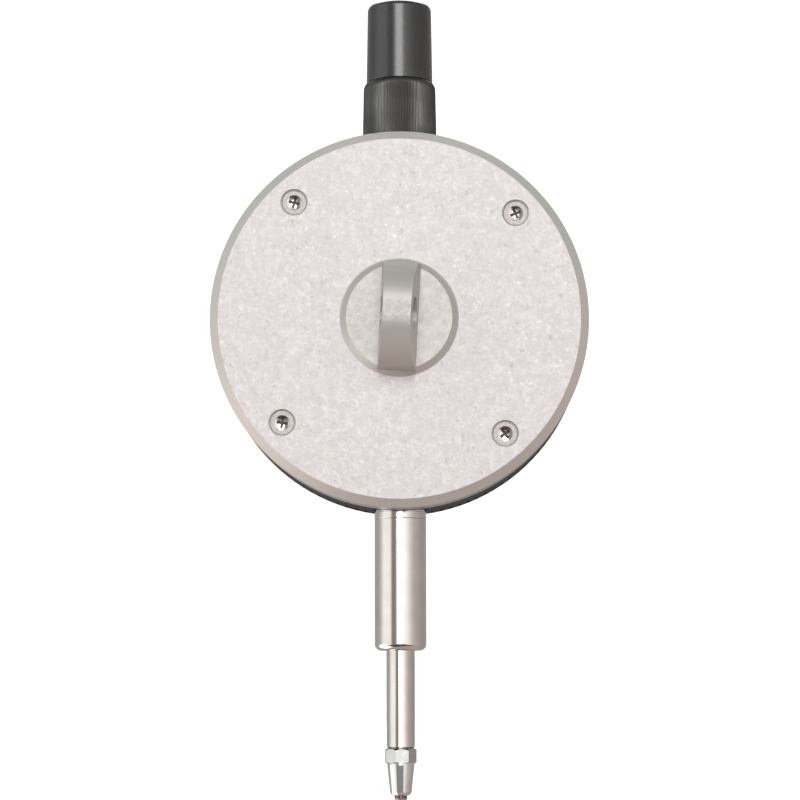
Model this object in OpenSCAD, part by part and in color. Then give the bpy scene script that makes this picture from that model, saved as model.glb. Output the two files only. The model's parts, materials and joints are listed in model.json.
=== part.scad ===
// Dial indicator with a lug back: 0.01 mm per division, 10 mm of travel.
// The spindle runs along Z, the dial faces +Y and the back cover with its lug faces -Y.
// The origin is on the spindle axis at the middle of the stem's clamping length.

/* [Case] */
// Outer radius of the case and back cover
case_r = 29; // [28.5:0.1:29.5]
// Distance from the spindle axis back to the flat of the back cover
back_y = 10.4; // [10.2:0.1:11]
// Distance from the spindle axis to the joint between case body and back cover
rim_y = 4.4; // [4.3:0.1:4.6]
// Radial width of the cover's edge chamfer
chamfer_w = 1.3; // [0.8:0.1:1.4]
// Turn of the back cover on the case, in degrees
cover_turn = 3; // [0:1:5]

/* [Lug and boss] */
// Radius of the raised boss at its foot
boss_r = 9.1; // [8.8:0.1:9.5]
// Height of the boss over the cover
boss_h = 1; // [0.6:0.1:1.2]
// Radius of the lug's arch
lug_r = 8.2; // [7.9:0.1:8.3]
// Lug thickness where it meets the boss
lug_foot_w = 5.9; // [5.6:0.1:6.4]
// Lug thickness at its crest
lug_crest_w = 4.2; // [3.8:0.1:4.6]
// Sideways lean of the crest, because the lug's two flanks have different draft
lug_lean = 0.25; // [0:0.05:0.4]
// Diameter of the lug's hole
lug_hole_d = 5; // [4:0.1:5.4]

/* [Stem and spindle] */
// Stem diameter
stem_d = 8; // [7.8:0.1:8]
// Clamping length of the stem
stem_l = 21.5; // [20:0.5:24]
// Spindle diameter
spindle_d = 4.4; // [4:0.1:4.4]
// Length of spindle that shows below the stem at rest
spindle_out = 15; // [13:0.1:17]
// Spindle travel
travel = 10.3; // [9:0.1:10.5]
// Radial running clearance of moving shafts
run_gap = 0.04; // [0.02:0.01:0.08]

/* [Top cap] */
// Radius of the collar at its foot
collar_r = 5.76; // [5.6:0.02:5.9]
// Radius of the cap at its foot
cap_r = 5.18; // [5:0.01:5.2]

/* [Movement] */
// Pitch of the rack and all gear teeth
tooth_pitch = 0.625; // [0.62:0.005:0.63]

/* [Hidden] */
$fn = 96;

// Places along Z are measured from the dial's centre, which is this far above the origin.
dial_z = case_r + stem_l / 2;
stem_r = stem_d / 2;
spindle_r = spindle_d / 2;
stem_top = -case_r + 0.4;
stem_end = -case_r - stem_l;
point_top = stem_end - spindle_out;

// The tube that carries the collar and cap, and the bores that fit over it.
tube_r = 3.8;
tube_bore = 3.83;
tube_top = case_r + 15.7;
cap_foot = 38.6;
spindle_top = 36;

// Fastener places: the cover's screws sit on one circle, the frame's screws share their lugs.
cover_screw_ring = 24;
frame_screw_ring = 22.9;
screw_turns = [18, -31, 52, 7];

// What is fitted through the case's wall stops outside the main plate.
main_plate_r = 25;
spigot_z = main_plate_r + 0.2;

// Layers of the movement along Y.
plate_y0 = 2.5;
plate_y1 = 3.5;
front_y0 = 6.1;
front_y1 = 6.8;
dial_y0 = 7.3;
dial_y1 = 7.7;
neck_r = 26.8;
neck_y = 6.6;
bezel_r = 29;
bezel_y0 = 4.75;
bezel_y1 = 11.8;
crystal_y0 = 9.9;
crystal_y1 = 11.2;
seat_r = 26.4;

// Gears. The rack faces +X and its pinion stands beside the spindle, below the dial's centre.
rack_teeth = 16;
wheel_teeth = 100;
pinion_teeth = 10;
gear_module = tooth_pitch / PI;
addendum = 0.9;
dedendum = 1.2;
tooth_fill = 0.88;
pressure = 20;
rack_x = 1.5;
rack_pinion_r = rack_teeth * gear_module / 2;
wheel_distance = (wheel_teeth + pinion_teeth) * gear_module / 2;
arbor_x = rack_x + rack_pinion_r;
arbor_z = -sqrt(wheel_distance * wheel_distance - arbor_x * arbor_x);
counter_x = -wheel_distance;
// Phases that put every pair in mesh at rest, in degrees about +Y from +X towards -Z.
wheel_phase = atan2(arbor_z, -arbor_x);
centre_phase = wheel_phase + 180 + 180 / pinion_teeth;
counter_phase = -((centre_phase - 180) / (360 / pinion_teeth) + 0.5) * 360 / wheel_teeth;

// The hands rest a fifth of a turn before zero.
hand_rest = 72;
counter_hand_rest = 7.2;

pin_z = 8;
hook_z = 6;
post_z = -15;
spring_y = -6;

// Helpers

// Lifts a part from the dial's centre to its place over the origin.
module at_dial() {
    translate([0, 0, dial_z]) children();
}

// Stands a part that is drawn along +Z along +Y instead, starting at y0.
module along_y(y0 = 0) {
    translate([0, y0, 0]) rotate([-90, 0, 0]) children();
}

// A solid turned about the Y axis from points of radius and y.
module turned_y(points) {
    along_y() rotate_extrude() polygon(points);
}

module post_y(x, z, y0, y1, r) {
    translate([x, y0, z]) rotate([-90, 0, 0]) cylinder(h = y1 - y0, r = r);
}

module ring_y(y0, y1, outer, inner) {
    difference() {
        post_y(0, 0, y0, y1, outer);
        post_y(0, 0, y0 - 1, y1 + 1, inner);
    }
}

module ring_z(z0, z1, outer, inner) {
    difference() {
        translate([0, 0, z0]) cylinder(h = z1 - z0, r = outer);
        translate([0, 0, z0 - 1]) cylinder(h = z1 - z0 + 2, r = inner);
    }
}

// A pan-head screw with a cross recess, or a cheese-head one with a dish if asked. Its top is at z = 0, facing -Z.
module cross_screw(head_r, head_h, shank_r, shank_l, turn = 0, dish_r = 0) {
    dished = dish_r > 0;
    edge = dished ? 0.15 : head_h * 0.5;
    ball = 2.5 * dish_r;
    slot_r = dished ? dish_r * 0.7 : head_r * 0.66;
    slot_w = dished ? 0.42 : head_r * 0.28;
    difference() {
        union() {
            rotate_extrude() union() {
                translate([0, edge]) square([head_r, head_h - edge]);
                square([head_r - edge, edge + 0.01]);
                intersection() {
                    translate([head_r - edge, edge]) circle(r = edge);
                    translate([head_r - edge, 0]) square([edge, edge + 0.01]);
                }
            }
            translate([0, 0, head_h - 0.01]) cylinder(h = shank_l, r = shank_r);
        }
        for (a = [0, 90]) rotate([0, 0, turn + a])
            translate([-slot_r, -slot_w / 2, -1]) cube([2 * slot_r, slot_w, 1 + head_h * 0.75]);
        if (dished) translate([0, 0, -sqrt(ball * ball - dish_r * dish_r)]) sphere(r = ball);
    }
}

// A screw that enters along +Y, with the top of its head at y0.
module screw_from_back(x, z, y0, head_r, head_h, shank_r, shank_l, turn = 0, dish_r = 0) {
    translate([x, y0, z]) rotate([-90, 0, 0]) cross_screw(head_r, head_h, shank_r, shank_l, turn, dish_r);
}

// A screw that enters along -Y, with the top of its head at y0.
module screw_from_front(x, z, y0, head_r, head_h, shank_r, shank_l, turn = 0) {
    translate([x, y0, z]) rotate([90, 0, 0]) cross_screw(head_r, head_h, shank_r, shank_l, turn);
}

// Places its children on the four fastener lugs, at a distance from the dial's centre.
module at_lugs(ring) {
    for (k = [0:3]) rotate([0, cover_turn - 45 - 90 * k, 0]) translate([ring, 0, 0]) children();
}

function polar(r, a) = [r * cos(a), r * sin(a)];

// Straight-sided gear teeth with backlash, one tooth centred on the start angle.
function gear_points(teeth, phase) =
    let (rp = teeth * gear_module / 2,
         tip_r = rp + addendum * gear_module,
         root_r = rp - dedendum * gear_module,
         half = 90 / teeth * tooth_fill,
         degrees_per_mm = 180 / PI / rp,
         tip = half - addendum * gear_module * tan(pressure) * degrees_per_mm,
         root = half + 0.6 * dedendum * gear_module * tan(pressure) * degrees_per_mm)
    [for (i = [0:teeth - 1]) let (a = phase + 360 * i / teeth)
        each [polar(root_r, a - root), polar(tip_r, a - tip), polar(tip_r, a + tip), polar(root_r, a + root)]];

module gear(teeth, phase, thick) {
    linear_extrude(height = thick) polygon(gear_points(teeth, phase));
}

// Shallow flutes round a circle, as the edge of a coin has.
function fluted_points(r, depth, flutes) =
    [for (i = [0:flutes - 1]) let (a = 360 * i / flutes, step = 360 / flutes)
        each [polar(r, a), polar(r, a + step * 0.5), polar(r - depth, a + step * 0.62), polar(r - depth, a + step * 0.88)]];

// Case

module case_body() {
    boss_half = 6;
    lug_y0 = -rim_y + 0.2;
    color("#1c1c1e") difference() {
        union() {
            turned_y([
                [case_r - 3, -rim_y], [case_r, -rim_y], [case_r, rim_y], [neck_r, rim_y], [neck_r, 5.45],
                [26.35, 5.45], [26.35, 6.15], [neck_r, 6.15], [neck_r, neck_y], [25.1, neck_y],
                [25.1, plate_y0], [23.6, plate_y0], [23.6, plate_y0 - 1], [case_r - 3, plate_y0 - 1]
            ]);
            at_lugs(cover_screw_ring) rotate([0, 180, 0]) post_y(0, 0, lug_y0, plate_y0, 2.6);
            intersection() {
                post_y(0, 0, lug_y0, plate_y0, case_r - 0.5);
                for (z = [-case_r, 23.5]) translate([-boss_half, lug_y0, z])
                    cube([2 * boss_half, plate_y0 - lug_y0, case_r - 23.5]);
            }
        }
        translate([0, 0, -case_r - 1]) cylinder(h = 8, r = 3.52);
        translate([0, 0, -case_r - 1]) cylinder(h = 1.4, r = stem_r + 0.3);
        translate([0, 0, 23]) cylinder(h = 8, r = 3.62);
        at_lugs(cover_screw_ring) post_y(0, 0, -rim_y - 1, -0.9, 1.02);
        at_lugs(frame_screw_ring) post_y(0, 0, 0.2, plate_y0 + 1, 0.92);
    }
}

// A half-round arch that thins towards its crest. Its feet end at the edge of the boss's top.
module lug() {
    crest_y = -back_y - boss_h - lug_r;
    intersection() {
        translate([-lug_foot_w, -back_y - boss_h, 0]) rotate([0, 90, 0]) cylinder(h = 2 * lug_foot_w, r = lug_r);
        translate([0, 0, -lug_r]) linear_extrude(height = 2 * lug_r) polygon([
            [-lug_foot_w / 2, -back_y - boss_h + 0.2], [lug_foot_w / 2, -back_y - boss_h + 0.2],
            [lug_crest_w / 2 - lug_lean, crest_y], [-lug_crest_w / 2 - lug_lean, crest_y]
        ]);
    }
}

module back_cover() {
    lug_hole_y = -back_y - boss_h - 4;
    chamfer_d = 1;
    floor_y = -back_y + 1.8;
    color("#dcd8d5") rotate([0, cover_turn, 0]) difference() {
        union() {
            turned_y([
                [0, floor_y], [0, -back_y - boss_h], [boss_r - 1, -back_y - boss_h], [boss_r, -back_y],
                [case_r - chamfer_w, -back_y], [case_r, -back_y + chamfer_d], [case_r, -rim_y],
                [case_r - 2.6, -rim_y], [case_r - 2.6, floor_y]
            ]);
            rotate([0, -cover_turn, 0]) at_lugs(cover_screw_ring) post_y(0, 0, floor_y - 0.5, -rim_y, 2.9);
            lug();
        }
        rotate([0, -cover_turn, 0]) at_lugs(cover_screw_ring) {
            post_y(0, 0, -back_y - 1, -rim_y + 1, 1.15);
            post_y(0, 0, -back_y - 1, -back_y + 1.15, 2.08);
        }
        translate([-lug_foot_w, lug_hole_y, 0]) rotate([0, 90, 0]) cylinder(h = 2 * lug_foot_w, d = lug_hole_d);
    }
}

module cover_screws() {
    color("#b9b6b2") for (k = [0:3]) rotate([0, cover_turn - 45 - 90 * k, 0])
        screw_from_back(cover_screw_ring, 0, -back_y + 0.35, 1.9, 0.8, 1, 8, screw_turns[k], 1.2);
}

module stem() {
    round_r = 1;
    neck_z = -case_r - 0.1;
    groove_z = -case_r - 1.15;
    spigot_r = 3.5;
    color("#c9c5bf") rotate_extrude() difference() {
        union() {
            translate([0, stem_top]) square([spigot_r, -spigot_z - stem_top]);
            translate([0, neck_z]) square([stem_r - 0.2, stem_top - neck_z]);
            translate([0, stem_end + round_r]) square([stem_r, neck_z - stem_end - round_r]);
            translate([0, stem_end]) square([stem_r - round_r, round_r + 0.01]);
            intersection() {
                translate([stem_r - round_r, stem_end + round_r]) circle(r = round_r);
                translate([stem_r - round_r, stem_end]) square([round_r, round_r + 0.01]);
            }
        }
        translate([-1, stem_end - 1]) square([1 + 2.6, stem_l + 8]);
        polygon([[stem_r - 0.06, groove_z], [stem_r + 1, groove_z + 0.5], [stem_r + 1, groove_z - 0.5]]);
    }
}

module lower_bush() {
    color("#b08d4c") ring_z(stem_end + 0.15, stem_end + 9, 2.6, spindle_r + run_gap);
}

module upper_tube() {
    color("#8d8a86") difference() {
        union() {
            translate([0, 0, spigot_z]) cylinder(h = case_r + 0.1 - spigot_z, r = 3.6);
            translate([0, 0, case_r + 0.02]) cylinder(h = tube_top - case_r - 0.02, r = tube_r);
        }
        translate([0, 0, spigot_z - 1]) cylinder(h = 22, r = 2.6);
    }
}

module upper_bush() {
    color("#b08d4c") ring_z(spigot_z + 0.2, 33, 2.6, spindle_r + run_gap);
}

module top_collar() {
    top_z = cap_foot - 0.05;
    foot_z = case_r + 0.05;
    shoulder = 1.5;
    shoulder_r = collar_r - 0.12;
    color("#565654") rotate_extrude() union() {
        polygon([[tube_bore, foot_z], [collar_r, foot_z], [collar_r, foot_z + 2.5],
            [shoulder_r, top_z - shoulder], [tube_bore, top_z - shoulder]]);
        intersection() {
            translate([shoulder_r - shoulder, top_z - shoulder]) circle(r = shoulder);
            translate([tube_bore, top_z - shoulder - 0.01]) square([2, shoulder - 0.13]);
        }
        translate([tube_bore, top_z - shoulder - 0.01]) square([cap_r + 0.02 - tube_bore, shoulder + 0.01]);
    }
}

// Movement frame

module main_plate() {
    color("#c2a25a") difference() {
        post_y(0, 0, plate_y0, plate_y1, main_plate_r);
        at_lugs(frame_screw_ring) post_y(0, 0, 0, plate_y1 + 1, 1);
        post_y(arbor_x, arbor_z, 0, 5, 1.7);
        for (x = [0, counter_x]) post_y(x, 0, 0, 5, 1.21);
        at_bridge_pillars() post_y(0, 0, 0, 5, 0.81);
        at_plate_pillars() post_y(0, 0, 0, 5, 0.81);
        at_rail_screws() post_y(0, 0, 0, 5, 0.55);
        post_y(counter_x, hair_outer, 0, 5, 0.41);
    }
}

module frame_screws() {
    color("#b9b6b2") for (k = [0:3]) rotate([0, cover_turn - 45 - 90 * k, 0])
        screw_from_front(frame_screw_ring, 0, plate_y1 + 0.6, 1.6, 0.6, 0.9, 3, 20 * k);
}

module at_plate_pillars() {
    for (p = [[6.5, 18], [-13.2, -13.6], [18, -3]]) translate([p[0], 0, p[1]]) children();
}

module plate_pillars() {
    color("#c2a25a") at_plate_pillars() difference() {
        union() {
            post_y(0, 0, plate_y1, front_y0, 1.4);
            post_y(0, 0, plate_y0, plate_y1 + 0.1, 0.8);
        }
        post_y(0, 0, 4.4, front_y0 + 1, 0.72);
    }
}

module front_plate() {
    color("#c2a25a") difference() {
        post_y(0, 0, front_y0, front_y1, 22.5);
        at_plate_pillars() post_y(0, 0, 0, 9, 0.8);
        for (x = [0, counter_x]) post_y(x, 0, 0, 9, 1.21);
        post_y(arbor_x, arbor_z, 0, 9, 1.21);
        at_dial_feet() post_y(0, 0, 0, 9, 0.62);
    }
}

module plate_screws() {
    color("#b9b6b2") at_plate_pillars() screw_from_front(0, 0, front_y1 + 0.4, 1.3, 0.4, 0.7, 2.2, 35);
}

module at_bridge_pillars() {
    for (dz = [-4.7, 4.7]) translate([arbor_x + 6.1, 0, arbor_z + dz]) children();
}

module rear_bridge() {
    color("#c2a25a") difference() {
        translate([-2.2, -3.6, arbor_z - 6.5]) cube([arbor_x + 10.2, 0.8, 13]);
        at_bridge_pillars() post_y(0, 0, -5, 0, 0.8);
        post_y(arbor_x, arbor_z, -5, 0, 1.21);
        post_y(0, post_z, -5, 0, 0.62);
    }
}

module bridge_pillars() {
    color("#c2a25a") at_bridge_pillars() difference() {
        union() {
            post_y(0, 0, -2.8, plate_y0, 1.4);
            post_y(0, 0, 0, plate_y1, 0.8);
        }
        post_y(0, 0, -4, -0.6, 0.72);
    }
}

module bridge_screws() {
    color("#b9b6b2") at_bridge_pillars() screw_from_back(0, 0, -4.2, 1.3, 0.6, 0.7, 2.6, 15);
}

module pivot_bush(x, z, y0, y1, bore) {
    difference() {
        post_y(x, z, y0, y1, 1.2);
        post_y(x, z, y0 - 1, y1 + 1, bore);
    }
}

module rear_pivot_bushes() {
    color("#b08d4c") {
        for (x = [0, counter_x]) pivot_bush(x, 0, plate_y0, plate_y1, 0.35 + run_gap);
        pivot_bush(arbor_x, arbor_z, -3.6, -2.8, 0.4 + run_gap);
    }
}

module front_pivot_bushes() {
    color("#b08d4c") {
        pivot_bush(0, 0, front_y0, front_y1, 0.5 + run_gap);
        pivot_bush(counter_x, 0, front_y0, front_y1, 0.4 + run_gap);
        pivot_bush(arbor_x, arbor_z, front_y0, front_y1, 0.35 + run_gap);
    }
}

rail_x = -6.9;
rail_low = pin_z - 3;
rail_high = pin_z + travel + 3;

module at_rail_screws() {
    for (z = [rail_low + 1, rail_high - 1]) translate([rail_x, 0, z]) children();
}

// A slotted bar. The spindle's pin slides in it, so the spindle can't turn, and its ends stop the travel.
module guide_rail() {
    pin_r = 0.8;
    end_gap = 0.1;
    color("#8d8a86") difference() {
        translate([rail_x - 1.4, -2.4, rail_low]) cube([2.8, 2.4 + plate_y0, rail_high - rail_low]);
        translate([rail_x - 2, -pin_r - run_gap, pin_z - pin_r - end_gap])
            cube([4, 2 * (pin_r + run_gap), travel + 2 * (pin_r + end_gap)]);
        at_rail_screws() post_y(0, 0, 0.4, 5, 0.52);
    }
}

module rail_screws() {
    color("#b9b6b2") at_rail_screws() screw_from_front(0, 0, plate_y1 + 0.45, 1, 0.45, 0.5, 2.8, 60);
}

// Springs

module spring_post() {
    color("#8d8a86") post_y(0, post_z, -6.9, -2.9, 0.6);
}

// A coil spring with an eye at each end, from the post up to the spindle's hook. Its wire is one
// swept square: down round the lower eye, up the coil and round the upper eye.
spring_turns = 14;
spring_r = 1.2;
wire_r = 0.2;
steps_per_turn = 12;
eye_r = 0.9;
eye_open = 40;

function wire_ring(c, a, b) = [c + wire_r * a, c + wire_r * b, c - wire_r * a, c - wire_r * b];

// Rings round an eye on the pin at height z, from one angle to another, in degrees from the top.
function eye_rings(z, from, to, flip) =
    [for (i = [0:steps_per_turn])
        let (a = from + (to - from) * i / steps_per_turn, out = [sin(a), 0, cos(a)])
        each wire_ring([0, spring_y, z] + eye_r * out, [0, -flip, 0], flip * out)];

// The coil opens from its axis to its full radius over this share of a turn at each end.
coil_lead = 0.4;

function coil_radius(u) = spring_r * sin(90 * min(1, u / coil_lead, (spring_turns - u) / coil_lead));

function coil_point(u, z0, z1) =
    [coil_radius(u) * cos(360 * u), spring_y + coil_radius(u) * sin(360 * u), z0 + (z1 - z0) * u / spring_turns];

function coil_rings(z0, z1) =
    [for (i = [1:spring_turns * steps_per_turn - 1])
        let (u = i / steps_per_turn,
             along = coil_point(u + 0.02, z0, z1) - coil_point(u - 0.02, z0, z1),
             side = [along[1], -along[0], 0])
        each wire_ring(coil_point(u, z0, z1), side / norm(side), [0, 0, 1])];

module return_spring() {
    points = concat(
        eye_rings(post_z, eye_open, 360, 1),
        coil_rings(post_z + eye_r, hook_z - eye_r),
        eye_rings(hook_z, 180, 540 - eye_open, -1)
    );
    last = len(points) - 4;
    sides = [for (i = [0:4:last - 4], k = [0:3]) let (j = i + (k + 1) % 4)
        each [[i + k, j, j + 4], [i + k, j + 4, i + k + 4]]];
    color("#a8a6a2") polyhedron(points, concat([[3, 2, 1, 0]], sides, [[last, last + 1, last + 2, last + 3]]));
}

hair_inner = 1.05;
hair_outer = 5.6;
hair_turns = 5.25;
hair_w = 0.14;
hair_y0 = 3.75;
hair_y1 = 4.25;

function hair_point(i, n, side) =
    polar(hair_inner + (hair_outer - hair_inner) * i / n + side * hair_w / 2, -hair_turns * 360 * (1 - i / n) - 90);

module hairspring() {
    n = 120;
    inner_edge = [for (i = [0:n]) hair_point(i, n, -1)];
    outer_edge = [for (i = [n:-1:0]) hair_point(i, n, 1)];
    color("#6d7fa0") translate([counter_x, 0, 0]) along_y(hair_y0)
        linear_extrude(height = hair_y1 - hair_y0) polygon(concat(inner_edge, outer_edge));
}

module hairspring_stud() {
    color("#8d8a86") difference() {
        post_y(counter_x, hair_outer, plate_y0, 4.5, 0.4);
        translate([counter_x - 1, hair_y0 - 0.05, hair_outer - hair_w / 2 - 0.02]) cube([2, 1, hair_w + 0.04]);
    }
}

// Dial

module at_dial_feet() {
    for (x = [-9, 9]) translate([x, 0, 13]) children();
}

module dial_centre() {
    color("#f4f3ee") difference() {
        union() {
            post_y(0, 0, dial_y0, dial_y1, 17.3);
            at_dial_feet() post_y(0, 0, front_y0, dial_y0 + 0.1, 0.6);
        }
        post_y(0, 0, 5, 9, 1.6);
        post_y(counter_x, 0, 5, 9, 1);
    }
}

module bezel_wire() {
    color("#8d8a86") along_y(5.8) rotate_extrude(angle = 350) translate([26.72, 0]) circle(r = 0.33, $fn = 24);
}

// Spindle and contact point

rack_first = -ceil((travel + 2) / tooth_pitch) + 1;
rack_last = 3;

// The space beside the rack's teeth, as an outline of x and z.
function rack_outline() =
    let (half = tooth_pitch / 4 * tooth_fill,
         tip = half - addendum * gear_module * tan(pressure),
         root = half + 0.6 * dedendum * gear_module * tan(pressure),
         tip_x = rack_x + addendum * gear_module,
         root_x = rack_x - dedendum * gear_module,
         low = arbor_z + (rack_first - 1) * tooth_pitch + root,
         high = arbor_z + (rack_last + 1) * tooth_pitch - root,
         teeth = [for (i = [rack_first:rack_last]) let (z = arbor_z + i * tooth_pitch)
             each [[root_x, z - root], [tip_x, z - tip], [tip_x, z + tip], [root_x, z + root]]])
    concat([[spindle_d, low], [root_x, low]], teeth, [[root_x, high], [spindle_d, high]]);

module spindle() {
    edge = 0.4;
    foot_edge = 0.25;
    length = spindle_top - point_top;
    color("#cfcac3") difference() {
        translate([0, 0, point_top]) rotate_extrude() polygon([
            [0, 0], [spindle_r - foot_edge, 0], [spindle_r, foot_edge], [spindle_r, length - edge], [spindle_r - edge, length], [0, length]
        ]);
        translate([0, 3, 0]) rotate([90, 0, 0]) linear_extrude(height = 6) polygon(rack_outline());
        translate([0, 0, point_top - 1]) cylinder(h = 6, r = 1.27);
        translate([-3, 0, pin_z]) rotate([0, 90, 0]) cylinder(h = 3.5, r = 0.81);
        post_y(0, hook_z, -3, -0.4, 0.61);
    }
}

module guide_pin() {
    color("#a8a6a2") translate([-9.2, 0, pin_z]) rotate([0, 90, 0]) cylinder(h = 9.6, r = 0.8);
}

module spring_hook() {
    color("#a8a6a2") post_y(0, hook_z, -6.9, -0.5, 0.6);
}

// The contact point: a collar with eight flats, a taper and a seat for the ball, on a threaded stud.
ball_r = 1;
ball_z = point_top - 7.45;

module contact_point() {
    collar_l = 2.3;
    corner_r = 2.57;
    face_r = 2.28;
    bevel = 0.3;
    flats_turn = 28.5;
    color("#d6d4d1") difference() {
        union() {
            intersection() {
                rotate_extrude() polygon([
                    [0, point_top], [face_r, point_top], [face_r + bevel, point_top - bevel],
                    [face_r + bevel, point_top - collar_l + bevel], [face_r, point_top - collar_l],
                    [0, point_top - collar_l]
                ]);
                translate([0, 0, point_top - 3]) rotate([0, 0, flats_turn]) linear_extrude(height = 4)
                    polygon([for (i = [0:7]) polar(corner_r, 45 * i)]);
            }
            rotate_extrude() polygon([
                [0, point_top - 2.2], [2.13, point_top - 2.2], [2.13, point_top - 2.5], [1.68, ball_z + 0.75],
                [1.5, ball_z + 0.4], [1.12, ball_z + 0.2], [0, ball_z + 0.2]
            ]);
            translate([0, 0, point_top - 0.1]) cylinder(h = 4.7, r = 1.25);
        }
        translate([0, 0, ball_z]) sphere(r = ball_r + 0.01);
    }
}

module contact_ball() {
    color("#5a2024") translate([0, 0, ball_z]) sphere(r = ball_r);
}

// Gear train

module rack_pinion() {
    color("#b9b6b2") translate([arbor_x, 0, arbor_z]) {
        along_y(-1.7) gear(rack_teeth, 180 + 180 / rack_teeth, 3.4);
        post_y(0, 0, -3.7, -2.6, 0.4);
        post_y(0, 0, -2.7, 3.9, 0.9);
        post_y(0, 0, 3.8, 5.95, 0.8);
        post_y(0, 0, 5.9, 6.7, 0.35);
    }
}

module first_wheel() {
    color("#c9a54f") translate([arbor_x, 0, arbor_z]) difference() {
        along_y(3.9) gear(wheel_teeth, wheel_phase, 0.6);
        post_y(0, 0, 3, 6, 0.81);
        for (a = [0:90:270]) rotate([0, a + 45, 0]) post_y(5.4, 0, 3, 6, 2.4);
    }
}

module centre_pinion() {
    color("#b9b6b2") {
        along_y(3.75) gear(pinion_teeth, centre_phase, 2.1);
        post_y(0, 0, 2.7, 3.7, 0.35);
        post_y(0, 0, 3.6, 5.95, 0.65);
        post_y(0, 0, 5.9, 9.25, 0.5);
    }
}

module hand_hub() {
    color("#1c1c1e") difference() {
        post_y(0, 0, 8.65, 9.2, 1.5);
        post_y(0, 0, 8, 10, 0.51);
    }
}

// A tapered hand on a round boss, pointing to +Z and then turned to where it rests.
module hand(y0, thick, reach, tail, foot_w, tip_w, hub_r, bore, turn) {
    color("#1c1c1e") rotate([0, turn, 0]) along_y(y0) difference() {
        linear_extrude(height = thick) union() {
            polygon([[-foot_w / 2, 0], [-tip_w / 2, -reach], [tip_w / 2, -reach], [foot_w / 2, 0],
                [foot_w / 2 + 0.2, tail], [-foot_w / 2 - 0.2, tail]]);
            circle(r = hub_r);
        }
        translate([0, 0, -1]) cylinder(h = thick + 2, r = bore);
    }
}

module main_hand() {
    hand(8.4, 0.25, 22.5, 7, 1.1, 0.25, 1.9, 0.51, hand_rest);
}

module counter_arbor() {
    color("#b9b6b2") translate([counter_x, 0, 0]) {
        post_y(0, 0, 2.7, 3.7, 0.35);
        post_y(0, 0, 3.6, 5.95, 0.6);
        post_y(0, 0, 5.9, 8.1, 0.4);
    }
}

module counter_wheel() {
    color("#c9a54f") translate([counter_x, 0, 0]) difference() {
        along_y(5) gear(wheel_teeth, counter_phase, 0.6);
        post_y(0, 0, 4, 7, 0.61);
        for (a = [0:90:270]) rotate([0, a + 45, 0]) post_y(5.4, 0, 4, 7, 2.4);
    }
}

module hairspring_collet() {
    color("#c9a54f") difference() {
        post_y(counter_x, 0, hair_y0 - 0.05, hair_y1 + 0.05, 0.95);
        post_y(counter_x, 0, 3, 5, 0.61);
    }
}

module counter_hand() {
    translate([counter_x, 0, 0]) hand(7.8, 0.22, 3.7, 1.2, 0.6, 0.15, 0.75, 0.41, counter_hand_rest);
}

// Bezel

module bezel() {
    color("#1c1c1e") difference() {
        turned_y([
            [neck_r + 0.05, bezel_y0], [bezel_r - 0.3, bezel_y0], [bezel_r, bezel_y0 + 0.3], [bezel_r, 9.4],
            [27.1, bezel_y1], [24.9, bezel_y1], [24.9, crystal_y1], [seat_r, crystal_y1], [seat_r, dial_y0],
            [25.4, dial_y0], [25.4, 6.85], [neck_r + 0.05, 6.85], [neck_r + 0.05, 6.3], [27.2, 6.3],
            [27.2, 5.3], [neck_r + 0.05, 5.3]
        ]);
        along_y(5.7) linear_extrude(height = 3) difference() {
            circle(r = bezel_r + 1);
            polygon(fluted_points(bezel_r + 0.01, 0.25, 120));
        }
    }
}

module dial_ring() {
    color("#f4f3ee") ring_y(dial_y0, dial_y1, seat_r - 0.1, 17.5);
}

module crystal() {
    color("#dfe8ea", 0.35) turned_y([
        [0, crystal_y0], [seat_r - 0.1, crystal_y0], [seat_r - 0.1, crystal_y1], [0, crystal_y1]
    ]);
}

module crystal_ring() {
    color("#2a2a2c") ring_y(crystal_y0 - 0.7, crystal_y0, seat_r - 0.05, 25.2);
}

// Top cap

module top_cap() {
    edge_z = cap_foot + 12.45;
    corner = 1;
    top_r = 5;
    color("#2b2b2d") rotate_extrude() difference() {
        union() {
            polygon([[0, cap_foot], [cap_r, cap_foot], [top_r, edge_z - corner], [0, edge_z - corner]]);
            translate([0, cap_foot]) square([top_r - corner, edge_z - cap_foot]);
            intersection() {
                translate([top_r - corner, edge_z - corner]) circle(r = corner);
                translate([top_r - corner, edge_z - corner]) square([corner, corner]);
            }
            polygon([[0, edge_z - 0.1], [2.95, edge_z - 0.1], [2.6, edge_z + 0.22], [1.6, edge_z + 0.38],
                [0, edge_z + 0.44]]);
        }
        translate([-1, cap_foot - 1]) square([1 + tube_bore, 7.7]);
        translate([-1, cap_foot]) square([1 + 3, 10.8]);
    }
}

at_dial() case_body();
at_dial() back_cover();
at_dial() cover_screws();
at_dial() stem();
at_dial() lower_bush();
at_dial() upper_tube();
at_dial() upper_bush();
at_dial() top_collar();
at_dial() main_plate();
at_dial() frame_screws();
at_dial() front_plate();
at_dial() plate_pillars();
at_dial() plate_screws();
at_dial() rear_bridge();
at_dial() bridge_pillars();
at_dial() bridge_screws();
at_dial() rear_pivot_bushes();
at_dial() front_pivot_bushes();
at_dial() guide_rail();
at_dial() rail_screws();
at_dial() spring_post();
at_dial() return_spring();
at_dial() hairspring_stud();
at_dial() hairspring();
at_dial() dial_centre();
at_dial() bezel_wire();
at_dial() spindle();
at_dial() guide_pin();
at_dial() spring_hook();
at_dial() contact_point();
at_dial() contact_ball();
at_dial() rack_pinion();
at_dial() first_wheel();
at_dial() centre_pinion();
at_dial() main_hand();
at_dial() hand_hub();
at_dial() counter_arbor();
at_dial() counter_wheel();
at_dial() hairspring_collet();
at_dial() counter_hand();
at_dial() bezel();
at_dial() dial_ring();
at_dial() crystal();
at_dial() crystal_ring();
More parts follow.
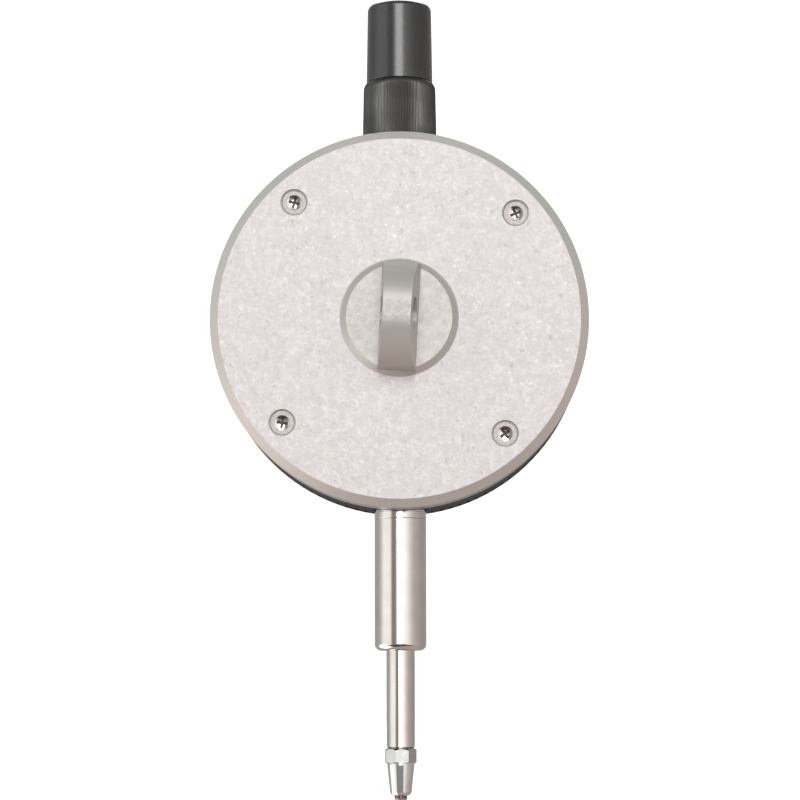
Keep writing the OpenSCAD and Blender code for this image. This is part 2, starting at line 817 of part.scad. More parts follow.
at_dial() top_cap();
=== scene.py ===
"""Looks of the dial indicator: materials, fine detail, light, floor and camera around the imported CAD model."""
import json
import math

import bmesh
import bpy
from mathutils import Matrix, Vector


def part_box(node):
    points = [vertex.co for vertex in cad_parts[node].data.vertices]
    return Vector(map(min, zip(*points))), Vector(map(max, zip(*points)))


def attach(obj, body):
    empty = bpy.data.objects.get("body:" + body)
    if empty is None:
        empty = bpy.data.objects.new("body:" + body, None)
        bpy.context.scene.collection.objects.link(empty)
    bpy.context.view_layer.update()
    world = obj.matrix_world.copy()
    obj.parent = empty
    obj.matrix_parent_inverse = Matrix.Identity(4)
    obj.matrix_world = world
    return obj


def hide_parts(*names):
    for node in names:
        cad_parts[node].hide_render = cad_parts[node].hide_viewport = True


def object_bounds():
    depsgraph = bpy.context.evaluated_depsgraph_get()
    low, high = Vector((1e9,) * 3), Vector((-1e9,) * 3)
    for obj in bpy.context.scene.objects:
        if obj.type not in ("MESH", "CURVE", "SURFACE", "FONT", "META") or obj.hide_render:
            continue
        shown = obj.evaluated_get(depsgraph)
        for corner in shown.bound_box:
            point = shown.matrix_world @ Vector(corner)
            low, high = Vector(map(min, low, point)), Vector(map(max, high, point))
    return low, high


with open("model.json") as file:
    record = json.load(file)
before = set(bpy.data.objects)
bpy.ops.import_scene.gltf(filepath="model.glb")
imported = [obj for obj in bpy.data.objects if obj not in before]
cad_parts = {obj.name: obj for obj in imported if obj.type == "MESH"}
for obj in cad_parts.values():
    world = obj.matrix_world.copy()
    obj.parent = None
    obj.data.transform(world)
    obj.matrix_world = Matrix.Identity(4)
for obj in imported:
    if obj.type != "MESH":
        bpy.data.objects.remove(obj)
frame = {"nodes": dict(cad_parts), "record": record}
nodes = frame["nodes"]
cad_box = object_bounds()

MM = 0.001


def middle(node):
    """The centre of a CAD node's box."""
    low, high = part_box(node)
    return (low + high) / 2


DIAL_Z = middle("bezel").z                      # the dial's axis
DIAL_FACE_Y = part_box("dial_ring")[1].y          # the dial's printed face
COUNTER_X = middle("counter_hand").x            # the turn counter's axis
COVER_TURN = 3                                  # degrees that the back cover is turned
SCREW_RING = 24 * MM                            # radius of the circle of cover screws
SCREW_TOP_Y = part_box("cover_screws")[0].y       # the flat rims of their heads
BOSS_TOP_Y = SCREW_TOP_Y - 1.35 * MM            # the heads lie 0.35 below the cover's face, and the boss rises 1


# Materials


class Nodes:
    """Short calls for building a node tree."""

    def __init__(self, tree):
        self.tree = tree
        tree.nodes.clear()

    def add(self, kind, inputs=None, **settings):
        made = self.tree.nodes.new(kind)
        for key, value in settings.items():
            setattr(made, key, value)
        for key, value in (inputs or {}).items():
            self.put(made.inputs[key], value)
        return made

    def put(self, socket, value):
        if isinstance(value, bpy.types.NodeSocket):
            self.tree.links.new(value, socket)
        else:
            socket.default_value = value

    def math(self, operation, a, b=0.0):
        return self.add("ShaderNodeMath", {0: a, 1: b}, operation=operation).outputs[0]

    def times(self, a, b):
        return self.math("MULTIPLY", a, b)

    def length(self, a, b):
        """The length of a flat vector with the sides a and b."""
        return self.math("SQRT", self.math("ADD", self.math("POWER", a, 2), self.math("POWER", b, 2)))

    def band(self, value, low, high, to_low=0.0, to_high=1.0, smooth=False):
        """value from low..high carried to to_low..to_high, held at the ends."""
        made = self.add(
            "ShaderNodeMapRange",
            {"Value": value, "From Min": low, "From Max": high, "To Min": to_low, "To Max": to_high},
            interpolation_type="SMOOTHSTEP" if smooth else "LINEAR",
        )
        return made.outputs["Result"]

    def noise(self, where, scale, detail, rough):
        inputs = {"Vector": where, "Scale": scale, "Detail": detail, "Roughness": rough}
        return self.add("ShaderNodeTexNoise", inputs).outputs["Fac"]

    def stretched(self, where, factors):
        return self.add("ShaderNodeMapping", {"Vector": where, "Scale": factors}).outputs["Vector"]

    def split(self, vector):
        """The X, Y and Z of a vector."""
        return self.add("ShaderNodeSeparateXYZ", {0: vector}).outputs

    def mix(self, factor, a, b):
        made = self.add("ShaderNodeMix", data_type="RGBA")
        for socket, value in ((0, factor), (6, a), (7, b)):
            self.put(made.inputs[socket], value)
        return made.outputs[2]

    def bump(self, height, distance, strength):
        made = self.add("ShaderNodeBump", {"Height": height, "Distance": distance, "Strength": strength})
        return made.outputs["Normal"]


def rgb(r, g, b):
    return (r, g, b, 1.0)


def new_material(name, metallic=0.0, **constants):
    """A Principled material. Its constants are set on the shader's own sockets."""
    material = bpy.data.materials.new(name)
    material.use_nodes = True
    n = Nodes(material.node_tree)
    shader = n.add("ShaderNodeBsdfPrincipled", {"Metallic": metallic})
    for key, value in constants.items():
        shader.inputs[key.replace("_", " ")].default_value = value
    out = n.add("ShaderNodeOutputMaterial")
    n.tree.links.new(shader.outputs[0], out.inputs[0])
    where = n.add("ShaderNodeTexCoord").outputs["Object"]
    return material, n, shader, where


def blasted_silver():
    """Satin plated zinc: bead-blasted on its flats, smooth on chamfers and the lug, with painted light and shade in
    its colour.
    """
    material, n, shader, where = new_material("cover_silver", metallic=0.3)
    normal = n.split(n.add("ShaderNodeNewGeometry").outputs["True Normal"])
    flat = n.band(normal["Y"], -0.97, -0.995)
    place = n.split(where)
    above = n.math("SUBTRACT", place["Z"], DIAL_Z)
    grain = n.noise(where, 1800, 4, 0.65)
    blotch = n.noise(where, 1000, 4, 0.65)
    mottle = n.noise(where, 900, 4, 0.65)
    cloud = n.noise(where, 260, 3, 0.6)
    specks = n.noise(where, 1500, 2, 0.5)

    # The flats sparkle: their grain of light and dark tone is partly painted glints and partly real grain. The boss's
    # top is a little worn. Dark pits lie over both, and bright points that are painted glints.
    blasted = n.mix(n.band(grain, 0.3, 0.7), rgb(0.465, 0.438, 0.4395), rgb(0.705, 0.668, 0.672))
    blasted = n.mix(n.band(blotch, 0.38, 0.62, 0.0, 0.62), blasted, rgb(0.455, 0.433, 0.43))
    blasted = n.mix(n.band(cloud, 0.4, 0.6, 0.0, 0.22), blasted, rgb(0.52, 0.515, 0.50))
    on_boss = n.band(n.length(place["X"], above), 8.4 * MM, 8.0 * MM)
    worn = n.mix(n.band(mottle, 0.35, 0.65), rgb(0.40, 0.38, 0.36), rgb(0.60, 0.575, 0.55))
    blasted = n.mix(n.times(on_boss, 0.6), blasted, worn)
    blasted = n.mix(n.band(specks, 0.64, 0.72, 0.0, 0.45), blasted, rgb(0.30, 0.285, 0.27))
    # painted glints: bright points in the colour of the flats
    blasted = n.mix(n.band(specks, 0.36, 0.28, 0.0, 0.3), blasted, rgb(0.9, 0.87, 0.85))

    # The smooth parts are lighter and browner low down, as painted light from below. The upper half of the lug and of
    # the boss's edge is darker, as painted shade.
    smooth = n.mix(n.band(above, -12 * MM, 12 * MM), rgb(0.46, 0.42, 0.395), rgb(0.41, 0.405, 0.385))
    raised = n.band(place["Y"], BOSS_TOP_Y + 0.9 * MM, BOSS_TOP_Y + 0.7 * MM)
    lug = n.band(place["Y"], BOSS_TOP_Y - 0.02 * MM, BOSS_TOP_Y - 0.05 * MM)
    lug_or_edge = n.math("MAXIMUM", lug, n.band(flat, 1, 0))
    # painted shade: darkens the upper half of the lug and of the boss's edge towards black
    painted_upper_shade = n.times(n.times(raised, n.band(above, -6 * MM, 1 * MM)), lug_or_edge)
    colour = n.mix(flat, smooth, blasted)
    n.put(shader.inputs["Base Color"], n.mix(n.times(painted_upper_shade, 0.16), colour, rgb(0.02, 0.02, 0.02)))

    smooth_rough = 0.42
    added = n.math("SUBTRACT", n.band(grain, 0.3, 0.7, 0.55, 0.7), smooth_rough)
    n.put(shader.inputs["Roughness"], n.math("ADD", n.times(flat, added), smooth_rough))
    height = n.times(n.math("ADD", grain, blotch), n.band(flat, 0, 1, 0.12, 1.0))
    n.put(shader.inputs["Normal"], n.bump(height, 0.03 * MM, 0.5))
    return material


ALONG_Z = (0.04, 0.04, 1)       # stretches noise into fine rings round a Z axis
EVEN = (1, 1, 1)


def polished_steel(name, low, high, roughness, stretch=EVEN):
    """Ground and polished steel: faint lines and slight clouding."""
    material, n, shader, where = new_material(name, metallic=1.0)
    lines = n.noise(n.stretched(where, stretch), 9000, 2, 0.5)
    cloud = n.noise(where, 420, 3, 0.55)
    n.put(shader.inputs["Base Color"], n.mix(n.band(cloud, 0.3, 0.7), rgb(*low), rgb(*high)))
    n.put(shader.inputs["Roughness"], n.band(lines, 0.3, 0.7, roughness * 0.8, roughness * 1.25))
    n.put(shader.inputs["Normal"], n.bump(lines, 0.0008 * MM, 0.4))
    return material


def plain_metal(name, low, high, roughness, scale=2500, stretch=EVEN):
    """Turned, cast or rolled metal: a fine grain, and slight clouding."""
    material, n, shader, where = new_material(name, metallic=1.0)
    grain = n.noise(n.stretched(where, stretch), scale, 3, 0.6)
    cloud = n.noise(where, 260, 2, 0.5)
    colour = n.mix(n.band(cloud, 0.3, 0.7), rgb(*low), rgb(*high))
    n.put(shader.inputs["Base Color"], n.mix(n.band(grain, 0.3, 0.7, 0.0, 0.12), colour, rgb(*low)))
    n.put(shader.inputs["Roughness"], n.band(grain, 0.3, 0.7, roughness * 0.85, roughness * 1.2))
    n.put(shader.inputs["Normal"], n.bump(grain, 0.004 * MM, 0.5))
    return material


def coated(name, low, high, roughness, scale=2200, bump=0.006 * MM, wear=None, **constants):
    """Paint, plastic, rubber or dirt: fine texture, slight shade changes, and paler convex edges if there is wear."""
    material, n, shader, where = new_material(name, **constants)
    grain = n.noise(where, scale, 3, 0.6)
    cloud = n.noise(where, 220, 3, 0.55)
    colour = n.mix(n.band(cloud, 0.3, 0.7), rgb(*low), rgb(*high))
    if wear:
        convex = n.band(n.add("ShaderNodeNewGeometry").outputs["Pointiness"], 0.53, 0.56)
        colour = n.mix(n.times(convex, 0.5), colour, rgb(*wear))
    n.put(shader.inputs["Base Color"], colour)
    n.put(shader.inputs["Roughness"], n.band(grain, 0.3, 0.7, roughness * 0.88, roughness * 1.15))
    n.put(shader.inputs["Normal"], n.bump(grain, bump, 0.5))
    return material


def screw_distance(n, place):
    """How far a point is from the axis of the nearest cover screw: they are a quarter turn apart on one circle."""
    turn = math.radians(COVER_TURN - 45)
    above = n.math("SUBTRACT", place["Z"], DIAL_Z)
    along, across = (
        n.math("ABSOLUTE", n.math("ADD", n.times(place["X"], a), n.times(above, b)))
        for a, b in ((math.cos(turn), -math.sin(turn)), (math.sin(turn), math.cos(turn)))
    )
    short = n.math("SUBTRACT", n.math("MAXIMUM", along, across), SCREW_RING)
    return n.length(short, n.math("MINIMUM", along, across))


def cover_screw():
    """A worn head: matt on its flat rim, polished in its dish, and dark in its recess, which is painted shade."""
    material, n, shader, where = new_material("cover_screw")
    place = n.split(where)
    depth = n.math("SUBTRACT", place["Y"], SCREW_TOP_Y)
    dish = n.band(depth, 0.004 * MM, 0.022 * MM)
    near_axis = n.band(screw_distance(n, place), 1.45 * MM, 1.35 * MM)
    # painted shade: the recess near the screw's axis is coloured dark
    recess = n.times(n.band(depth, 0.27 * MM, 0.31 * MM), near_axis)
    grain = n.noise(where, 3000, 3, 0.6)
    rim = n.mix(n.band(grain, 0.3, 0.7), rgb(0.33, 0.305, 0.30), rgb(0.47, 0.44, 0.43))
    polished = n.mix(n.band(grain, 0.3, 0.7), rgb(0.60, 0.55, 0.50), rgb(0.74, 0.69, 0.635))
    n.put(shader.inputs["Base Color"], n.mix(recess, n.mix(dish, rim, polished), rgb(0.05, 0.038, 0.033)))
    metallic, rough = n.band(dish, 0, 1, 0.3, 1.0), n.band(dish, 0, 1, 0.55, 0.14)
    n.put(shader.inputs["Metallic"], n.math("SUBTRACT", metallic, n.times(recess, 0.6)))
    n.put(shader.inputs["Roughness"], n.math("ADD", rough, n.times(recess, 0.4)))
    n.put(shader.inputs["Normal"], n.bump(grain, 0.006 * MM, 0.5))
    return material


def contact_steel():
    """Plated steel: darker and smoother on the collar's flats than on the taper below them."""
    material, n, shader, where = new_material("point_steel", metallic=1.0)
    collar_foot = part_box("spindle")[0].z - 2.2 * MM
    collar = n.band(n.split(where)["Z"], collar_foot - 0.1 * MM, collar_foot + 0.1 * MM)
    lines = n.noise(n.stretched(where, ALONG_Z), 9000, 2, 0.5)
    cloud = n.noise(where, 900, 3, 0.55)
    taper = n.mix(n.band(cloud, 0.3, 0.7), rgb(0.62, 0.62, 0.62), rgb(0.72, 0.72, 0.72))
    flats = n.mix(n.band(cloud, 0.3, 0.7), rgb(0.46, 0.46, 0.465), rgb(0.53, 0.53, 0.535))
    rough = n.band(lines, 0.3, 0.7, 0.1, 0.15)
    n.put(shader.inputs["Base Color"], n.mix(collar, taper, flats))
    n.put(shader.inputs["Roughness"], n.math("SUBTRACT", rough, n.times(collar, 0.07)))
    n.put(shader.inputs["Normal"], n.bump(lines, 0.0008 * MM, 0.4))
    return material


def clear_glass():
    """The crystal over the dial. Its gloss is a coat, and its body hardly bends the view."""
    glass = {"IOR": 1.01, "Transmission_Weight": 1.0, "Coat_Weight": 1.0, "Coat_IOR": 2.0, "Alpha": 0.35}
    material, n, shader, where = new_material("crystal", **glass)
    cloud = n.noise(where, 300, 2, 0.5)
    n.put(shader.inputs["Base Color"], n.mix(cloud, rgb(0.97, 0.99, 0.99), rgb(0.99, 1.0, 1.0)))
    n.put(shader.inputs["Roughness"], n.band(cloud, 0.3, 0.7, 0.0, 0.02))
    return material


def ruby():
    """A ruby ball in painted light and shade: pale pink below for the light that comes through it, and dark near its
    seat as painted shade.
    """
    material, n, shader, where = new_material("ball_red", Coat_Weight=1.0, Coat_Roughness=0.03)
    cloud = n.noise(where, 900, 2, 0.5)
    height = n.math("SUBTRACT", n.split(where)["Z"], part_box("contact_point")[0].z)
    # painted light and shade: a lit pale pink below, and a shaded near-black at the seat
    pale = n.mix(cloud, rgb(0.30, 0.17, 0.175), rgb(0.37, 0.22, 0.225))
    shaded_at_seat = n.mix(cloud, rgb(0.035, 0.012, 0.012), rgb(0.06, 0.02, 0.02))
    n.put(shader.inputs["Base Color"], n.mix(n.band(height, -0.45 * MM, -0.25 * MM), pale, shaded_at_seat))
    n.put(shader.inputs["Roughness"], n.band(cloud, 0.3, 0.7, 0.1, 0.16))
    return material


BLACK_PAINT = (0.004, 0.004, 0.0045), (0.007, 0.007, 0.0075)
BLACK_WORN = (0.03, 0.03, 0.03)

finishes = {
    "cover_silver": blasted_silver(),
    "stem_steel": polished_steel("stem_steel", (0.60, 0.575, 0.55), (0.66, 0.635, 0.61), 0.10, ALONG_Z),
    "spindle_steel": polished_steel("spindle_steel", (0.60, 0.57, 0.54), (0.66, 0.63, 0.60), 0.08, ALONG_Z),
    "point_steel": contact_steel(),
    "screw_steel": polished_steel("screw_steel", (0.66, 0.62, 0.57), (0.76, 0.72, 0.67), 0.16),
    "gunmetal": plain_metal("gunmetal", (0.062, 0.062, 0.060), (0.094, 0.094, 0.091), 0.45, 3000, (1, 1, 0.05)),
    "brass": plain_metal("brass", (0.62, 0.45, 0.20), (0.72, 0.55, 0.27), 0.30, 1800, (0.15, 1, 1)),
    "bronze": plain_metal("bronze", (0.45, 0.28, 0.13), (0.55, 0.36, 0.18), 0.32),
    "spring_steel": plain_metal("spring_steel", (0.38, 0.40, 0.45), (0.50, 0.51, 0.55), 0.24),
    "cap_black": coated(
        "cap_black", (0.015, 0.015, 0.0165), (0.021, 0.021, 0.0225), 0.24, 3000, 0.003 * MM, Specular_IOR_Level=0.66
    ),
    "case_black": coated("case_black", *BLACK_PAINT, 0.5, wear=BLACK_WORN, Specular_IOR_Level=0.1),
    "bezel_black": coated("bezel_black", *BLACK_PAINT, 0.46, wear=BLACK_WORN, Specular_IOR_Level=0.12),
    "dial_white": coated("dial_white", (0.80, 0.79, 0.76), (0.86, 0.85, 0.82), 0.55, 1600, 0.003 * MM),
    "hand_black": coated("hand_black", (0.012, 0.012, 0.012), (0.02, 0.02, 0.02), 0.45),
    "seal_black": coated("seal_black", (0.02, 0.02, 0.02), (0.03, 0.03, 0.03), 0.7),
    "ball_red": ruby(),
    "crystal": clear_glass(),
}

slot_of = {part["node"]: part["material_slot"] for part in frame["record"]["subparts"]}
for name, obj in nodes.items():
    for material_slot in obj.material_slots:
        material_slot.material = finishes[slot_of[name]]
nodes["cover_screws"].material_slots[0].material = cover_screw()


# Rounded edges on the CAD nodes

SHARP = math.radians(28)        # an edge that bends by more than this is an edge of the shape


def smoothing_group():
    """Geometry nodes that join the tessellation's corners and shade smooth across all but the shape's edges."""
    group = bpy.data.node_groups.new("smooth_below", "GeometryNodeTree")
    group.interface.new_socket("Geometry", in_out="INPUT", socket_type="NodeSocketGeometry")
    group.interface.new_socket("Geometry", in_out="OUTPUT", socket_type="NodeSocketGeometry")
    new, link = group.nodes.new, group.links.new
    start, end = new("NodeGroupInput"), new("NodeGroupOutput")
    bare = new("GeometryNodeRemoveAttribute")
    bare.inputs["Name"].default_value = "custom_normal"
    merge = new("GeometryNodeMergeByDistance")
    merge.inputs["Distance"].default_value = 0.002 * MM
    angle, compare = new("GeometryNodeInputMeshEdgeAngle"), new("FunctionNodeCompare")
    compare.operation = "LESS_THAN"
    compare.inputs[1].default_value = SHARP
    faces, edges = new("GeometryNodeSetShadeSmooth"), new("GeometryNodeSetShadeSmooth")
    edges.domain = "EDGE"
    link(start.outputs[0], bare.inputs[0])
    link(bare.outputs[0], merge.inputs[0])
    link(merge.outputs[0], faces.inputs[0])
    link(faces.outputs[0], edges.inputs[0])
    link(angle.outputs["Unsigned Angle"], compare.inputs[0])
    link(compare.outputs[0], edges.inputs["Shade Smooth"])
    link(edges.outputs[0], end.inputs[0])
    return group


smooth_group = smoothing_group()


def soften(node, width):
    """Rounds a CAD node's edges with modifiers, which leave its mesh as it is."""
    obj = nodes[node]
    obj.modifiers.new("smooth", "NODES").node_group = smooth_group
    flat = obj.modifiers.new("flat", "DECIMATE")
    flat.decimate_type, flat.angle_limit = "DISSOLVE", math.radians(0.3)
    bevel = obj.modifiers.new("edges", "BEVEL")
    bevel.width, bevel.segments, bevel.limit_method = width, 3, "ANGLE"
    bevel.angle_limit, bevel.harden_normals, bevel.miter_outer = SHARP, True, "MITER_ARC"


soften("back_cover", 0.16 * MM)
soften("top_cap", 0.12 * MM)
soften("stem", 0.08 * MM)
soften("spindle", 0.08 * MM)
soften("case_body", 0.12 * MM)


# Pieces that the CAD model leaves plain


def finished(name, mesh, body, slot, replaced=()):
    """Turns a bmesh into a piece that rides on a body."""
    bmesh.ops.recalc_face_normals(mesh, faces=mesh.faces)
    data = bpy.data.meshes.new(name)
    mesh.to_mesh(data)
    mesh.free()
    data.materials.append(finishes[slot])
    obj = bpy.data.objects.new(name, data)
    bpy.context.scene.collection.objects.link(obj)
    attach(obj, body)
    if replaced:
        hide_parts(*replaced)
    return obj


def join_rings(mesh, rings):
    """Faces from each ring of vertices to the next, and from the last to the first."""
    for a, b in zip(rings, rings[1:] + rings[:1]):
        for i in range(len(a)):
            j = (i + 1) % len(a)
            mesh.faces.new((a[i], a[j], b[j], b[i]))


def lathe_with_grooves(profile, grooves, steps):
    """A closed ring turned about Z from (radius, height, groove depth) points."""
    mesh = bmesh.new()
    count = grooves * steps
    rings = []
    for radius, height, depth in profile:
        ring = []
        for i in range(count):
            phase = (i % steps) / steps
            valley = 1 - abs(2 * phase - 1)
            r = radius - depth * valley
            angle = math.tau * i / count
            ring.append(mesh.verts.new((r * math.cos(angle), r * math.sin(angle), height)))
        rings.append(ring)
    join_rings(mesh, rings)
    return mesh


def knurled_collar():
    """The collar under the cap, with a fine straight knurl that fades out on its rounded shoulder."""
    low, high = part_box("top_collar")
    foot, top, bore = low.z, high.z, 3.83 * MM
    foot_r, neck_r = 5.76 * MM, 5.64 * MM
    lip, depth = 0.1 * MM, 0.078 * MM
    round_r, round_turn, round_steps = 1.5 * MM, math.radians(49), 7
    straight_top = foot + 2.5 * MM
    neck = top - round_r * math.sin(round_turn)
    rows = [(foot_r - lip, foot, 0), (foot_r, foot + lip, depth), (foot_r, straight_top, depth)]
    for t in (0.33, 0.66, 1):
        rows.append((neck_r + (foot_r - neck_r) * (1 - t), straight_top + (neck - straight_top) * t, depth))
    for k in range(1, round_steps + 1):
        share = k / round_steps
        a = round_turn * share
        rows.append((neck_r - round_r * (1 - math.cos(a)), neck + round_r * math.sin(a), depth * (1 - share)))
    rows += [(bore, top, 0), (bore, foot, 0)]
    collar = lathe_with_grooves(rows, grooves=140, steps=4)
    obj = finished("knurled_collar", collar, "case", "gunmetal", ["top_collar"])
    obj.modifiers.new("smooth", "NODES").node_group = smooth_group


def screw_seats():
    """Grey rings that fill the narrow gap round each sunk cover screw, from just below its rim to a hair above it.
    They cover the gap's shade with lit grey: painted light.
    """
    mesh = bmesh.new()
    sides = 64
    inner, outer, crown, foot = 1.86 * MM, 2.09 * MM, -0.03 * MM, 0.3 * MM
    profile = ((inner, 0.09 * MM), (outer - 0.06 * MM, 0.07 * MM), (outer, crown), (outer, foot), (inner, foot))
    angles = [math.tau * i / sides for i in range(sides)]
    for k in range(4):
        turn = math.radians(COVER_TURN - 45 - 90 * k)
        x, z = SCREW_RING * math.cos(turn), DIAL_Z - SCREW_RING * math.sin(turn)
        rings = []
        for radius, depth in profile:
            y = SCREW_TOP_Y + depth
            rings.append([mesh.verts.new((x + radius * math.cos(a), y, z + radius * math.sin(a))) for a in angles])
        join_rings(mesh, rings)
    obj = finished("screw_seats", mesh, "case", "cover_silver")
    obj.data.materials[0] = coated("screw_seat", (0.27, 0.255, 0.245), (0.43, 0.41, 0.395), 0.7)


FACING_FRONT = Matrix(((-1, 0, 0), (0, 0, 1), (0, 1, 0))).to_4x4()
PRINT = 0.015 * MM              # thickness of the dial's print


def clock(turn, radius, centre_x=0.0):
    """The place on the dial at a share of a clockwise turn from the top, as x and z."""
    return centre_x - radius * math.sin(math.tau * turn), DIAL_Z + radius * math.cos(math.tau * turn)


def add_tick(mesh, turn, inner, outer, width, centre_x=0.0):
    """A printed line along a radius, as a thin raised block."""
    corners = []
    for radius in (inner, outer):
        x, z = clock(turn, radius, centre_x)
        side_x, side_z = math.cos(math.tau * turn) * width / 2, math.sin(math.tau * turn) * width / 2
        for sign in (-1, 1):
            corners.append((x + sign * side_x, z + sign * side_z))
    order = [corners[0], corners[1], corners[3], corners[2]]
    low = [mesh.verts.new((x, DIAL_FACE_Y, z)) for x, z in order]
    high = [mesh.verts.new((x, DIAL_FACE_Y + PRINT, z)) for x, z in order]
    mesh.faces.new(high)
    mesh.faces.new(low[::-1])
    for i in range(4):
        j = (i + 1) % 4
        mesh.faces.new((low[i], low[j], high[j], high[i]))


def add_number(mesh, number, size, x, z):
    """A printed number, centred on x and z, facing the front."""
    curve = bpy.data.curves.new("number", "FONT")
    curve.body, curve.size, curve.extrude, curve.offset = str(number), size, PRINT / 2, size * 0.012
    curve.align_x = curve.align_y = "CENTER"
    holder = bpy.data.objects.new("number", curve)
    bpy.context.scene.collection.objects.link(holder)
    bpy.context.view_layer.update()
    shape = bpy.data.meshes.new_from_object(holder.evaluated_get(bpy.context.evaluated_depsgraph_get()))
    shape.transform(Matrix.Translation((x, DIAL_FACE_Y + PRINT / 2, z)) @ FACING_FRONT)
    mesh.from_mesh(shape)
    bpy.data.objects.remove(holder)
    bpy.data.curves.remove(curve)
    bpy.data.meshes.remove(shape)


def dial_print():
    """The scale of 100 parts on the turning ring, and the turn counter's scale on the fixed centre."""
    scale = bmesh.new()
    rim = 24.7
    for i in range(100):
        length, width = (3.4, 0.24) if i % 10 == 0 else (2.6, 0.18) if i % 5 == 0 else (1.9, 0.13)
        add_tick(scale, i / 100, (rim - length) * MM, rim * MM, width * MM)
    for k in range(10):
        add_number(scale, 10 * k, 2.9 * MM, *clock(k / 10, 19.3 * MM))
    finished("dial_scale", scale, "bezel_group", "hand_black")

    counter = bmesh.new()
    for i in range(20):
        inner, width = (3.9, 0.14) if i % 2 == 0 else (4.2, 0.09)
        add_tick(counter, -i / 20, inner * MM, 4.6 * MM, width * MM, COUNTER_X)
    for k in range(10):
        add_number(counter, k, 1.25 * MM, *clock(-k / 10, 5.45 * MM, COUNTER_X))
    finished("counter_scale", counter, "case", "hand_black")


knurled_collar()
screw_seats()
dial_print()


# Light, floor and camera


def area_light(name, watts, size, azimuth, elevation, distance=1.0):
    """An area light aimed at the origin, at an azimuth (0 is the camera's side, positive to the right)."""
    data = bpy.data.lights.new(name, "AREA")
    data.shape, data.size, data.size_y = "RECTANGLE", size[0], size[1]
    data.energy = watts
    lamp = bpy.data.objects.new(name, data)
    a, e = math.radians(azimuth), math.radians(elevation)
    away = Vector((math.sin(a) * math.cos(e), -math.cos(a) * math.cos(e), math.sin(e)))
    lamp.location = away * distance
    lamp.rotation_mode = "QUATERNION"
    lamp.rotation_quaternion = away.to_track_quat("Z", "Y")
    lamp.visible_camera = False
    bpy.context.scene.collection.objects.link(lamp)


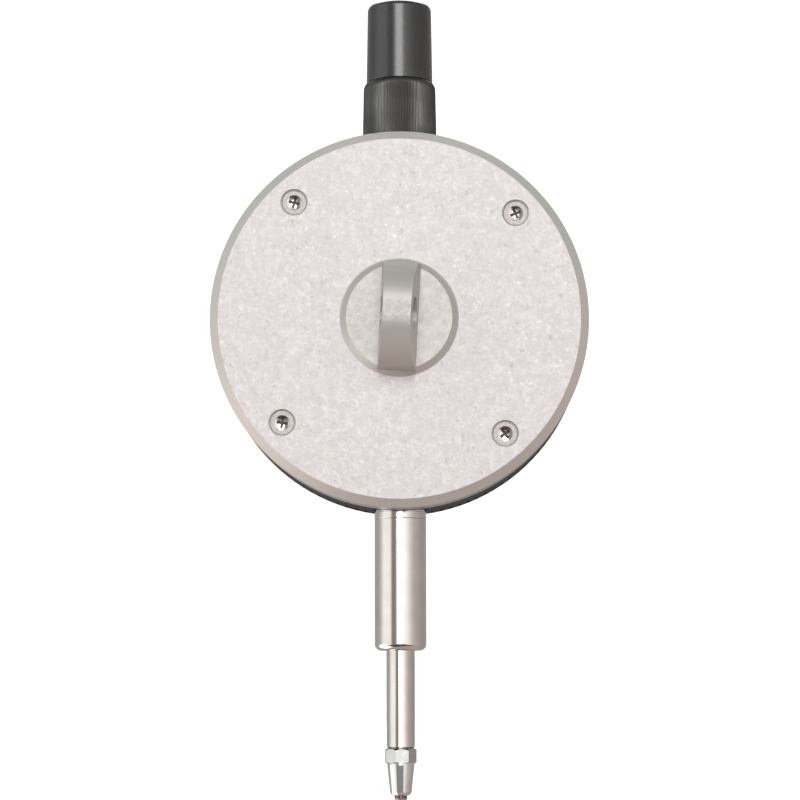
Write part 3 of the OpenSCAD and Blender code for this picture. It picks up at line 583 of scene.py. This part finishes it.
def studio_world():
    """Camera rays meet white. Reflections meet a room whose brightness changes with azimuth."""
    world = bpy.data.worlds.new("studio")
    world.use_nodes = True
    n = Nodes(world.node_tree)
    strength = 2.0

    def shade(*colour):
        return rgb(*(c / strength for c in colour))

    direction = n.split(n.add("ShaderNodeTexCoord").outputs["Generated"])
    x, y, z = (direction[axis] for axis in "XYZ")
    azimuth = n.math("ARCTAN2", x, n.times(y, -1.0))
    ramp = n.add("ShaderNodeValToRGB", {"Fac": n.math("ADD", n.math("DIVIDE", azimuth, math.tau), 0.5)})
    stops = (
        (-180, (0.42, 0.42, 0.42)), (-112, (0.52, 0.52, 0.52)), (-92, (0.90, 0.90, 0.89)), (-80, (1.38, 1.38, 1.36)),
        (-46, (1.40, 1.37, 1.30)), (-41, (0.80, 0.77, 0.74)), (-36, (0.34, 0.32, 0.31)), (-21, (0.34, 0.32, 0.31)),
        (-14, (1.3, 1.3, 1.28)), (22, (1.6, 1.58, 1.55)), (34, (1.30, 1.26, 1.20)), (52, (0.86, 0.80, 0.74)),
        (66, (0.67, 0.60, 0.57)), (100, (0.51, 0.455, 0.43)), (114, (0.45, 0.43, 0.42)), (180, (0.42, 0.42, 0.42)),
    )
    elements = ramp.color_ramp.elements
    for degrees, colour in stops[1:-1]:
        elements.new(degrees / 360 + 0.5)
    for element, (degrees, colour) in zip(elements, stops):
        element.color = shade(*colour)

    # Over the ramp lie the ceiling, a bright card low on the left, the bench's near edge and top, and the ground
    up = n.band(z, 0.45, 0.85, smooth=True)
    low_left = n.band(n.math("SUBTRACT", n.times(x, -0.79), n.times(z, 0.61)), 0.81, 0.96, smooth=True)
    edge = n.times(n.band(z, -0.06, -0.14), n.band(y, -0.84, -0.9))
    bench = n.times(n.band(z, -0.24, -0.38, smooth=True), n.band(y, -0.2, -0.6))
    down = n.band(n.math("SUBTRACT", z, n.times(x, 0.25)), -0.6, -0.85, smooth=True)
    room = n.mix(up, ramp.outputs["Color"], shade(0.33, 0.335, 0.315))
    room = n.mix(low_left, room, shade(3.1, 3.0, 2.92))
    room = n.mix(edge, room, shade(0.36, 0.35, 0.345))
    room = n.mix(bench, room, shade(0.10, 0.075, 0.065))
    room = n.mix(down, room, shade(0.55, 0.465, 0.42))

    seen = n.add("ShaderNodeBackground", {"Color": rgb(1, 1, 1), "Strength": 1.2})
    lit = n.add("ShaderNodeBackground", {"Color": room, "Strength": strength})
    from_camera = n.add("ShaderNodeLightPath").outputs["Is Camera Ray"]
    pick = n.add("ShaderNodeMixShader", {0: from_camera, 1: lit.outputs[0], 2: seen.outputs[0]})
    out = n.add("ShaderNodeOutputWorld")
    n.tree.links.new(pick.outputs[0], out.inputs[0])
    bpy.context.scene.world = world


def floor():
    """A large pale floor with sloping sides, under the contact ball. It is almost white, as on a light table."""
    half, slope = 1.6, 0.25
    mesh = bmesh.new()
    corners = ((-1, -1), (1, -1), (1, 1), (-1, 1))
    top, foot = (
        [mesh.verts.new((x * size, y * size, height)) for x, y in corners]
        for size, height in ((half, 0), (half + slope, -slope))
    )
    mesh.faces.new(top)
    for i in range(4):
        j = (i + 1) % 4
        mesh.faces.new((top[j], top[i], foot[i], foot[j]))
    data = bpy.data.meshes.new("floor")
    mesh.to_mesh(data)
    mesh.free()
    obj = bpy.data.objects.new("floor", data)
    bpy.context.scene.collection.objects.link(obj)
    obj.location.z = cad_box[0].z
    material, n, shader, where = new_material("floor", Roughness=0.8, Emission_Strength=0.55)
    shade = n.mix(n.noise(where, 30, 2, 0.5), rgb(0.86, 0.86, 0.86), rgb(0.9, 0.9, 0.9))
    n.put(shader.inputs["Base Color"], shade)
    n.put(shader.inputs["Emission Color"], shade)
    data.materials.append(material)
    obj.visible_glossy = obj.visible_diffuse = False


def camera():
    """The photograph's viewpoint: behind the tool, level with the spindle below its stem, aimed up a little."""
    data = bpy.data.cameras.new("camera")
    data.sensor_width, data.lens, data.shift_y = 36, 120.717, 0.05
    data.clip_start, data.clip_end = 0.01, 20
    obj = bpy.data.objects.new("camera", data)
    obj.location = (4.9 * MM, -415.79 * MM, -17.0 * MM)
    obj.rotation_euler = (math.radians(90 + 5.352), math.radians(0.11), math.radians(0.69))
    bpy.context.scene.collection.objects.link(obj)
    bpy.context.scene.camera = obj


studio_world()
floor()
camera()
key_size, key_radiance = (0.44, 0.86), 5.9
area_light("key", key_radiance * math.pi * key_size[0] * key_size[1], key_size, -0.9, 20)
area_light("back_top", 12, (0.9, 0.6), 180, 55, distance=1.2)
bpy.context.scene.view_settings.view_transform = "Standard"
